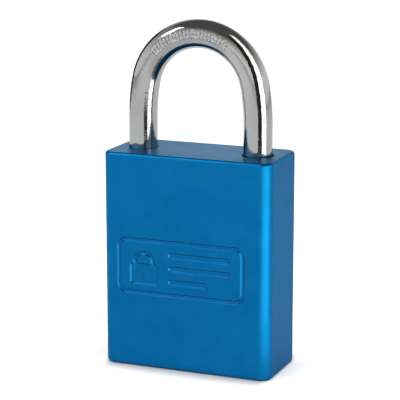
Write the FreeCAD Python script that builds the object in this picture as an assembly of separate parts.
import FreeCAD, Part
import math
import os

# Safety padlock: a solid aluminium body, a chromed steel shackle held by two balls, and a
# five-pin key cylinder. Lengths are in millimetres. +X runs along the width towards the toe
# leg, -Y is the front face, +Z is up, and the origin is the middle of the underside.
# The lock is shown closed, with its pins standing at the shear line as the right key lifts them.

# Body block
body_width = 39.1
body_depth = 18.1
body_height = 48.0
edge_radius = 2.6            # the four upright edges
rim_radius = 0.7             # the edges round the top and the underside
side_wall = 2.55             # metal outside the toe bore
cavity_wall = 2.0           # metal before and behind the cylinder cavity
top_wall = 4.3               # metal above the actuator
heel_floor = 4.0             # metal under the heel bore
toe_floor_gap = 2.0          # room under the end of the toe leg
web = 3.7                    # metal between the toe bore and the cylinder cavity
mouth_chamfer = 0.3          # broken edge at the mouth of each shackle bore

# Shackle
rod_diameter = 6.35
crown_height = 25.7          # centre line of the crown above the body
crown_tuck = 0.6             # how much tighter the crown's arc is than half the leg spacing
side_radius = 45.0           # the shallow arcs that join the crown to the straight legs
toe_depth = 14.5             # how far the toe leg stands in the body
toe_clear = 0.5              # how far the raised toe leg stands above the body
toe_chamfer = 0.8
neck_radius = 1.9            # turned neck of the heel leg
heel_flange = 2.4            # collar left at the end of the heel leg

# Locking balls
ball_depth = 8.0             # ball centres below the top of the body
ball_engagement = 1.43       # how deep a locked ball stands in the shackle
ball_travel = 3.6            # how far a ball draws back

# Cylinder
cylinder_recess = 0.3        # key face set in from the underside
shell_wall = 1.42            # shell round the plug
plug_flange = 0.6            # collar at the key face, beyond the plug's radius
flange_thickness = 1.4
bible_half_width = 3.3       # the block that holds the pin chambers
bible_past_toe = 1.5         # how far that block reaches beyond the toe leg's axis
bible_corner = 1.2
pin_pitch = 3.96
first_pin = 5.2              # first pin from the key face
pin_radius = 1.45
key_pin_lengths = [4.2, 5.4, 4.8, 6.0, 4.5]
pin_tip_radius = 0.45
pin_tip_length = 0.9         # the cone at a key pin's tip
driver_length = 3.4
spool_end = 0.6              # full ends of the spool-shaped drivers
spool_slope = 0.3
spool_waist = 0.95           # their waist radius
ring_count = 3               # grooves of the ringed drivers
ring_width = 0.4
ring_pitch = 0.8
groove_depth = 0.2
cover_thickness = 0.8
cover_recess = 0.3
cover_half_width = 1.7
keyway_width = 2.0
keyway_low = -4.6            # the keyway's two ends along X
keyway_high = 3.0
ward_middles = [-1.2, 0.7]   # one ward on each side of the slot
ward_width = 1.0
ward_slope = 0.3
ward_depth = 0.55
foot_length = 1.5            # the narrow foot of the slot

# Plug tail, clip and actuator
tail_gap = 2.2               # from the shell's back to the actuator
spigot_radius = 4.4
clip_groove_radius = 3.6
clip_radius = 5.6
clip_thickness = 0.7
clip_opening = 70.0          # degrees of the ring left open
tongue_half_width = 1.5
tongue_half_length = 4.2
tongue_length = 3.2

# Fasteners and springs
screw_radius = 1.4
screw_floor = 0.9            # metal between the screw's tip and the chamber cover's slot
screw_offset = 0.9           # the screw's axis, inwards from the toe leg's axis
screw_slot = 0.6
screw_slot_depth = 1.0
retaining_pin_radius = 1.0
retaining_pin_drop = 7.0     # its axis below the balls
wire_sides = 12              # flats round a spring's wire
spring_wire = 0.9            # shackle spring
spring_pitch = 1.5
spring_mean_radius = 2.55
pin_spring_wire = 0.3
pin_spring_pitch = 0.9
pin_spring_mean_radius = 1.12

# Emblem on the front: a frame, a small lock and plain bars
emblem_x = -1.0
emblem_z = 23.0
emblem_width = 30.0
emblem_height = 12.8
emblem_corner = 2.2
emblem_stroke = 0.8
emblem_depth = 0.35
sign_inset = 6.4             # the lock sign's middle from the frame's left side
sign_drop = 1.6              # the sign's block, below the emblem's middle
sign_width = 6.6
sign_height = 4.8
sign_corner = 0.7
bow_radius = 2.5
bow_rise = 1.0
bar_inset = 12.2             # where the bars begin
bar_lengths = [14.4, 14.4, 9.0]
bar_width = 1.2
bar_pitch = 3.0
bar_corner = 0.4

# Clearances
heel_clearance = 0.08        # heel leg in its bore
toe_clearance = 0.325        # toe leg in its wider bore
seat_clearance = 0.03        # pieces that are pushed in and stay
turn_clearance = 0.06        # pieces that turn or slide on each other
cam_clearance = 0.12         # actuator in the cavity
notch_clearance = 0.12       # ball in the shackle's notch
stop_gap = 0.05              # between a piece and its stop

# What follows from them
rod_radius = rod_diameter / 2
toe_bore_radius = rod_radius + toe_clearance
heel_bore_radius = rod_radius + heel_clearance
toe_x = body_width / 2 - side_wall - toe_bore_radius
heel_x = -toe_x
lift = toe_depth + toe_clear
cavity_radius = body_depth / 2 - cavity_wall
shell_radius = cavity_radius - seat_clearance
plug_radius = shell_radius - shell_wall
lobe_radius = cavity_radius - cam_clearance
ball_z = body_height - ball_depth
ball_reach = toe_x - rod_radius + ball_engagement
ball_radius = (ball_reach - lobe_radius - turn_clearance) / 2
ball_x = ball_reach - ball_radius
toe_end = body_height - toe_depth
toe_floor = toe_end - toe_floor_gap
shell_top = toe_floor - web
bible_end = toe_x + bible_past_toe
cover_x = bible_end - cover_recess - cover_thickness
pin_heights = [cylinder_recess + first_pin + i * pin_pitch for i in range(len(key_pin_lengths))]
driver_start = plug_radius + turn_clearance + stop_gap / 2
driver_end = driver_start + driver_length
actuator_bottom = shell_top + tail_gap
actuator_top = body_height - top_wall - stop_gap
retaining_z = ball_z - retaining_pin_drop
neck_top = retaining_z + retaining_pin_radius + stop_gap
flange_top = retaining_z - retaining_pin_radius - lift - stop_gap
heel_end = flange_top - heel_flange
screw_x = toe_x - screw_offset
cover_top = pin_heights[-1] + cover_half_width
screw_bottom = cover_top + screw_floor
crown_radius = toe_x - crown_tuck
crown_centre = body_height + crown_height - crown_radius
side_rise = math.sqrt((side_radius - crown_radius) ** 2 - (side_radius - toe_x) ** 2)
straight_top = crown_centre - side_rise


def vec(x, y, z):
    return FreeCAD.Vector(x, y, z)


def upright(radius, bottom, top, x=0.0):
    """A cylinder along Z."""
    return Part.makeCylinder(radius, top - bottom, vec(x, 0, bottom))


def crosswise(radius, start, end, z):
    """A cylinder along X."""
    return Part.makeCylinder(radius, end - start, vec(start, 0, z), vec(1, 0, 0))


def block(x_low, x_high, y_half, z_low, z_high):
    """A box that is centred on the middle plane."""
    return Part.makeBox(x_high - x_low, 2 * y_half, z_high - z_low, vec(x_low, -y_half, z_low))


def turned(outline, axis):
    """A solid of revolution from (distance along the axis, radius) points."""
    points = [vec(a, 0, r) if axis.x else vec(r, 0, a) for a, r in outline]
    face = Part.Face(Part.makePolygon(points + points[:1]))
    return face.revolve(vec(0, 0, 0), axis, 360)


def rounded_upright(solid, radius):
    """Round the edges that run along Z."""
    edges = [e for e in solid.Edges if abs(e.tangentAt(e.FirstParameter).z) > 0.99]
    return solid.makeFillet(radius, edges)


def bible(clearance, bottom, top):
    """The pin block's outline, grown by a clearance, from one height to another."""
    half = bible_half_width + clearance
    plain = block(0.0, bible_end + clearance, half, bottom, top)
    edges = [e for e in plain.Edges if e.BoundBox.XMin > 1.0 and e.BoundBox.ZLength > 1.0]
    return plain.makeFillet(bible_corner, edges)


def coil(wire, mean_radius, pitch, length):
    """A compression spring that stands on the origin, with its wire inside the length."""
    turns = max(2, round((length - wire) / pitch))
    height = length - wire
    path = Part.makeHelix(height / turns, height, mean_radius)
    corners = []
    for i in range(wire_sides):
        angle = 2 * math.pi * i / wire_sides
        corners.append(vec(mean_radius + wire / 2 * math.cos(angle), 0, wire / 2 * math.sin(angle)))
    section = Part.makePolygon(corners + corners[:1])
    spring = Part.Wire(path).makePipeShell([section], True, True)
    spring.translate(vec(0, 0, wire / 2))
    return spring


def front_plate(x, z, width, height, corner):
    """A rounded plate that cuts the emblem into the front face."""
    front = -body_depth / 2
    plate = Part.makeBox(width, 2 * emblem_depth, height,
                         vec(x - width / 2, front - emblem_depth, z - height / 2))
    edges = [e for e in plate.Edges if abs(e.tangentAt(e.FirstParameter).y) > 0.99]
    return plate.makeFillet(corner, edges)


def front_disc(x, z, radius):
    """A disc that cuts the emblem into the front face."""
    start = vec(x, -body_depth / 2 - emblem_depth, z)
    return Part.makeCylinder(radius, 2 * emblem_depth, start, vec(0, 1, 0))


def emblem():
    """Frame, lock sign and bars, as one cutter."""
    stroke = emblem_stroke
    outer = front_plate(emblem_x, emblem_z, emblem_width, emblem_height, emblem_corner)
    inner = front_plate(emblem_x, emblem_z, emblem_width - 2 * stroke,
                        emblem_height - 2 * stroke, emblem_corner - stroke)
    cutter = outer.cut(inner)
    left = emblem_x - emblem_width / 2
    sign_x = left + sign_inset
    bow_z = emblem_z + bow_rise
    bow = front_disc(sign_x, bow_z, bow_radius).cut(front_disc(sign_x, bow_z, bow_radius - stroke))
    sign = front_plate(sign_x, emblem_z - sign_drop, sign_width, sign_height, sign_corner)
    cutter = cutter.fuse(sign).fuse(bow)
    for i, length in enumerate(bar_lengths):
        cutter = cutter.fuse(front_plate(left + bar_inset + length / 2, emblem_z + bar_pitch * (1 - i),
                                         length, bar_width, bar_corner))
    return cutter


def lock_body():
    """The solid block with its bores, cut from below and from above."""
    half_w = body_width / 2
    body = rounded_upright(block(-half_w, half_w, body_depth / 2, 0, body_height), edge_radius)
    rims = [e for e in body.Edges if e.BoundBox.ZLength < 0.01]
    body = body.makeFillet(rim_radius, rims)
    body = body.cut(upright(cavity_radius, -1, body_height - top_wall))
    body = body.cut(bible(seat_clearance, -1, shell_top + seat_clearance))
    body = body.cut(upright(heel_bore_radius, heel_floor, body_height + 1, heel_x))
    body = body.cut(upright(toe_bore_radius, toe_floor, body_height + 1, toe_x))
    for x, radius in ((heel_x, heel_bore_radius), (toe_x, toe_bore_radius)):
        mouth = Part.makeCone(radius, radius + mouth_chamfer, mouth_chamfer,
                              vec(x, 0, body_height - mouth_chamfer))
        body = body.cut(mouth)
    channel = crosswise(ball_radius + turn_clearance, -ball_reach, ball_reach, ball_z)
    body = body.cut(channel)
    body = body.cut(upright(screw_radius + seat_clearance, shell_top - 1, toe_floor + 1, screw_x))
    body = body.cut(crosswise(retaining_pin_radius + seat_clearance, heel_x, 0, retaining_z))
    return body.cut(emblem())


def ball_path(side, clearance):
    """The space that a ball sweeps through the raised shackle, as the shackle sees it."""
    start = vec(side * ball_x, 0, ball_z)
    end = vec(side * (ball_x - ball_travel), 0, ball_z - lift)
    radius = ball_radius + clearance
    sweep = Part.makeCylinder(radius, (end - start).Length, start, end - start)
    return sweep.fuse(Part.makeSphere(radius, start))


def shackle():
    """One bent rod: straight legs, shallow side arcs and a round crown, then the turned ends."""
    lean = math.atan2(side_rise, side_radius - toe_x)

    def on_side(side, angle):
        centre_x = toe_x - side_radius
        return vec(side * (centre_x + side_radius * math.cos(angle)), 0,
                   straight_top + side_radius * math.sin(angle))

    heel_foot = vec(heel_x, 0, heel_end)
    toe_foot = vec(toe_x, 0, toe_end)
    crown = vec(0, 0, crown_centre + crown_radius)
    path = Part.Wire([
        Part.LineSegment(heel_foot, on_side(-1, 0)).toShape(),
        Part.Arc(on_side(-1, 0), on_side(-1, lean / 2), on_side(-1, lean)).toShape(),
        Part.Arc(on_side(-1, lean), crown, on_side(1, lean)).toShape(),
        Part.Arc(on_side(1, lean), on_side(1, lean / 2), on_side(1, 0)).toShape(),
        Part.LineSegment(on_side(1, 0), toe_foot).toShape(),
    ])
    section = Part.Wire(Part.makeCircle(rod_radius, heel_foot, vec(0, 0, 1)))
    rod = path.makePipeShell([section], True, False)
    wide = rod_radius + 1
    neck = upright(wide, flange_top, neck_top, heel_x).cut(
        upright(neck_radius, flange_top, neck_top, heel_x))
    rod = rod.cut(neck)
    for side in (-1, 1):
        rod = rod.cut(ball_path(side, notch_clearance))
    tip = upright(wide, toe_end - 1, toe_end + toe_chamfer, toe_x).cut(
        Part.makeCone(rod_radius - toe_chamfer - 1, rod_radius, toe_chamfer + 1,
                      vec(toe_x, 0, toe_end - 1)))
    return rod.cut(tip)


def shackle_spring():
    """Pushes the shackle up from the bottom of the heel bore."""
    spring = coil(spring_wire, spring_mean_radius, spring_pitch,
                  heel_end - heel_floor - 2 * stop_gap)
    spring.translate(vec(heel_x, 0, heel_floor + stop_gap))
    return spring


def shackle_retaining_pin():
    """Stands through the web into the heel leg's neck, behind the actuator."""
    tip = heel_x + neck_radius + 2 * stop_gap
    return crosswise(retaining_pin_radius, tip, -cavity_radius - stop_gap, retaining_z)


def locking_ball(side):
    return Part.makeSphere(ball_radius, vec(side * ball_x, 0, ball_z))


def cam_pocket():
    """Plan of one pocket: what the ball sweeps as it draws back evenly over a quarter turn."""
    radius = ball_radius + turn_clearance
    quarter = math.pi / 2
    rate = ball_travel / quarter

    def centre(turn):
        reach = ball_x - rate * turn
        return vec(reach * math.cos(-turn), reach * math.sin(-turn), 0)

    def heading(turn):
        reach = ball_x - rate * turn
        along = vec(-rate * math.cos(turn) - reach * math.sin(turn),
                    rate * math.sin(turn) - reach * math.cos(turn), 0)
        return along.normalize()

    def inward(turn):
        along = heading(turn)
        return vec(along.y, -along.x, 0)

    steps = 12
    turns = [quarter * i / steps for i in range(steps + 1)]
    wall = Part.BSplineCurve()
    wall.interpolate([centre(t) + inward(t) * radius for t in turns])
    first = centre(0) + inward(0) * radius
    last = centre(quarter) + inward(quarter) * radius
    far_side = centre(quarter) - inward(quarter) * radius
    nose = centre(quarter) + heading(quarter) * radius
    clear = 2 * lobe_radius
    away = [far_side - inward(quarter) * clear, vec(clear, -clear, 0), vec(clear, 0, 0)]
    edges = [wall.toShape(), Part.Arc(last, nose, far_side).toShape()]
    corners = [far_side] + away + [first]
    for a, b in zip(corners, corners[1:]):
        edges.append(Part.LineSegment(a, b).toShape())
    return Part.Face(Part.Wire(edges))


def ball_actuator():
    """A round cam that holds the balls out, and lets them in after a quarter turn."""
    body = upright(lobe_radius, actuator_bottom, actuator_top)
    floor = ball_z - ball_radius - 2 * cam_clearance
    pocket = cam_pocket().extrude(vec(0, 0, actuator_top - floor + 1))
    pocket.translate(vec(0, 0, floor))
    for half_turn in (0, 180):
        turned_pocket = pocket.copy()
        turned_pocket.rotate(vec(0, 0, 0), vec(0, 0, 1), half_turn)
        body = body.cut(turned_pocket)
    gap = 2 * turn_clearance
    slot = block(-tongue_half_length - gap, tongue_half_length + gap, tongue_half_width + gap,
                 actuator_bottom - 1, actuator_bottom + tongue_length + gap)
    return body.cut(slot)


def cylinder_shell():
    """Round shell with the pin block on one side."""
    shell = upright(shell_radius, cylinder_recess, shell_top)
    shell = shell.fuse(bible(0.0, cylinder_recess, shell_top)).removeSplitter()
    shell = shell.cut(upright(plug_radius + turn_clearance, 0, shell_top + 1))
    shell = shell.cut(upright(plug_radius + plug_flange + turn_clearance, 0,
                              cylinder_recess + flange_thickness + stop_gap))
    for z in pin_heights:
        shell = shell.cut(crosswise(pin_radius + turn_clearance, plug_radius - 1, bible_end + 1, z))
    margin = cover_half_width + seat_clearance
    shell = shell.cut(block(cover_x - seat_clearance, bible_end + 1, margin,
                            pin_heights[0] - margin - stop_gap, cover_top + seat_clearance + stop_gap))
    return shell.cut(upright(screw_radius + seat_clearance, screw_bottom - stop_gap,
                             shell_top + 1, screw_x))


def chamber_cover():
    """The strip that closes the five pin chambers."""
    return block(cover_x, cover_x + cover_thickness, cover_half_width,
                 pin_heights[0] - cover_half_width, cover_top)


def ward(middle, side):
    """Four points of a ward that stands into the slot from one side."""
    half = keyway_width / 2
    reach = ward_width / 2
    return [(middle - reach - ward_slope, side * half), (middle - reach, side * (half - ward_depth)),
            (middle + reach, side * (half - ward_depth)), (middle + reach + ward_slope, side * half)]


def keyway():
    """A slot with a ward on each side and a narrow foot, through the whole plug."""
    half = keyway_width / 2
    foot = keyway_low + foot_length
    outline = [(keyway_low, -half)] + ward(ward_middles[0], -1) + [(keyway_high, -half)]
    outline += [(keyway_high, half)] + ward(ward_middles[1], 1)[::-1]
    outline += [(foot + ward_slope, half), (foot, half - ward_depth), (keyway_low, half - ward_depth)]
    points = [vec(x, y, 0) for x, y in outline]
    face = Part.Face(Part.makePolygon(points + points[:1]))
    return face.extrude(vec(0, 0, shell_top + 1))


def cylinder_plug():
    """The part that the key turns: flange, barrel, spigot with a clip groove, and a tongue."""
    groove_low = shell_top + stop_gap
    groove_high = groove_low + clip_thickness + stop_gap
    spigot_top = actuator_bottom - 2 * stop_gap
    plug = turned([
        (cylinder_recess, 0), (cylinder_recess, plug_radius + plug_flange),
        (cylinder_recess + flange_thickness, plug_radius + plug_flange),
        (cylinder_recess + flange_thickness, plug_radius), (shell_top, plug_radius),
        (shell_top, spigot_radius), (groove_low, spigot_radius), (groove_low, clip_groove_radius),
        (groove_high, clip_groove_radius), (groove_high, spigot_radius),
        (spigot_top, spigot_radius), (spigot_top, 0),
    ], vec(0, 0, 1))
    tongue = block(-tongue_half_length, tongue_half_length, tongue_half_width,
                   spigot_top, actuator_bottom + tongue_length)
    plug = plug.fuse(tongue.common(upright(spigot_radius, spigot_top, actuator_top)))
    plug = plug.cut(keyway())
    for z in pin_heights:
        chamber_start = ward_middles[0] - ward_width
        plug = plug.cut(crosswise(pin_radius + turn_clearance, chamber_start, plug_radius + 1, z))
    return plug


def plug_clip():
    """An open spring ring behind the shell."""
    low = shell_top + stop_gap
    ring = upright(clip_radius, low, low + clip_thickness).cut(
        upright(clip_groove_radius + seat_clearance, low - 1, low + clip_thickness + 1))
    half = math.radians(clip_opening / 2)
    far = 2 * clip_radius
    mouth = Part.Face(Part.makePolygon([
        vec(0, 0, low - 1), vec(far * math.cos(half), -far * math.sin(half), low - 1),
        vec(far * math.cos(half), far * math.sin(half), low - 1), vec(0, 0, low - 1)]))
    return ring.cut(mouth.extrude(vec(0, 0, clip_thickness + 2)))


def ring_groove(start):
    """Four points of a turned groove."""
    floor = pin_radius - groove_depth
    return [(start, pin_radius), (start, floor), (start + ring_width, floor),
            (start + ring_width, pin_radius)]


def key_pin(index):
    """Stands in the plug with its flat end just inside the shear line and its tip in the keyway."""
    outer = math.sqrt(plug_radius ** 2 - pin_radius ** 2) - stop_gap / 2
    tip = outer - key_pin_lengths[index]
    outline = [(tip, 0), (tip, pin_tip_radius), (tip + pin_tip_length, pin_radius)]
    outline += ring_groove(outer - ring_pitch - ring_width)
    pin = turned(outline + [(outer, pin_radius), (outer, 0)], vec(1, 0, 0))
    pin.translate(vec(0, 0, pin_heights[index]))
    return pin


def driver_pin(index):
    """A spool or a ringed pin, one after the other, to resist picking."""
    start = driver_start
    end = driver_end
    outline = [(start, 0), (start, pin_radius)]
    if index % 2:
        outline += [(start + spool_end, pin_radius), (start + spool_end + spool_slope, spool_waist),
                    (end - spool_end - spool_slope, spool_waist), (end - spool_end, pin_radius)]
    else:
        first = (start + end - (ring_count - 1) * ring_pitch - ring_width) / 2
        for i in range(ring_count):
            outline += ring_groove(first + i * ring_pitch)
    pin = turned(outline + [(end, pin_radius), (end, 0)], vec(1, 0, 0))
    pin.translate(vec(0, 0, pin_heights[index]))
    return pin


def pin_spring(index):
    """Between a driver and the chamber cover."""
    spring = coil(pin_spring_wire, pin_spring_mean_radius, pin_spring_pitch,
                  cover_x - driver_end - 2 * stop_gap)
    spring.rotate(vec(0, 0, 0), vec(0, 1, 0), 90)
    spring.translate(vec(driver_end + stop_gap, 0, pin_heights[index]))
    return spring


def cylinder_screw():
    """Slotted grub screw, reached through the open toe bore."""
    top = toe_floor - stop_gap
    screw = upright(screw_radius, screw_bottom, top, screw_x)
    slot = block(screw_x - screw_radius - 1, screw_x + screw_radius + 1, screw_slot / 2,
                 top - screw_slot_depth, top + 1)
    return screw.cut(slot)


def pieces():
    """Every separate piece, by name."""
    made = {
        "lock_body": lock_body(),
        "shackle": shackle(),
        "shackle_spring": shackle_spring(),
        "shackle_retaining_pin": shackle_retaining_pin(),
        "heel_locking_ball": locking_ball(-1),
        "toe_locking_ball": locking_ball(1),
        "ball_actuator": ball_actuator(),
        "cylinder_shell": cylinder_shell(),
        "cylinder_plug": cylinder_plug(),
        "plug_clip": plug_clip(),
        "chamber_cover": chamber_cover(),
        "cylinder_screw": cylinder_screw(),
    }
    for i in range(len(key_pin_lengths)):
        made["key_pin_%d" % (i + 1)] = key_pin(i)
        made["driver_pin_%d" % (i + 1)] = driver_pin(i)
        made["pin_spring_%d" % (i + 1)] = pin_spring(i)
    return made


os.makedirs("parts", exist_ok=True)
for name, solid in pieces().items():
    if not solid.isValid() or solid.Volume <= 0:
        raise ValueError(name + " is not a sound solid")
    solid.exportStep("parts/%s.step" % name)
    print("%-22s %2d solid(s) %9.2f mm3" % (name, len(solid.Solids), solid.Volume))
print("lift %.2f, ball diameter %.3f, travel %.2f" % (lift, 2 * ball_radius, ball_travel))
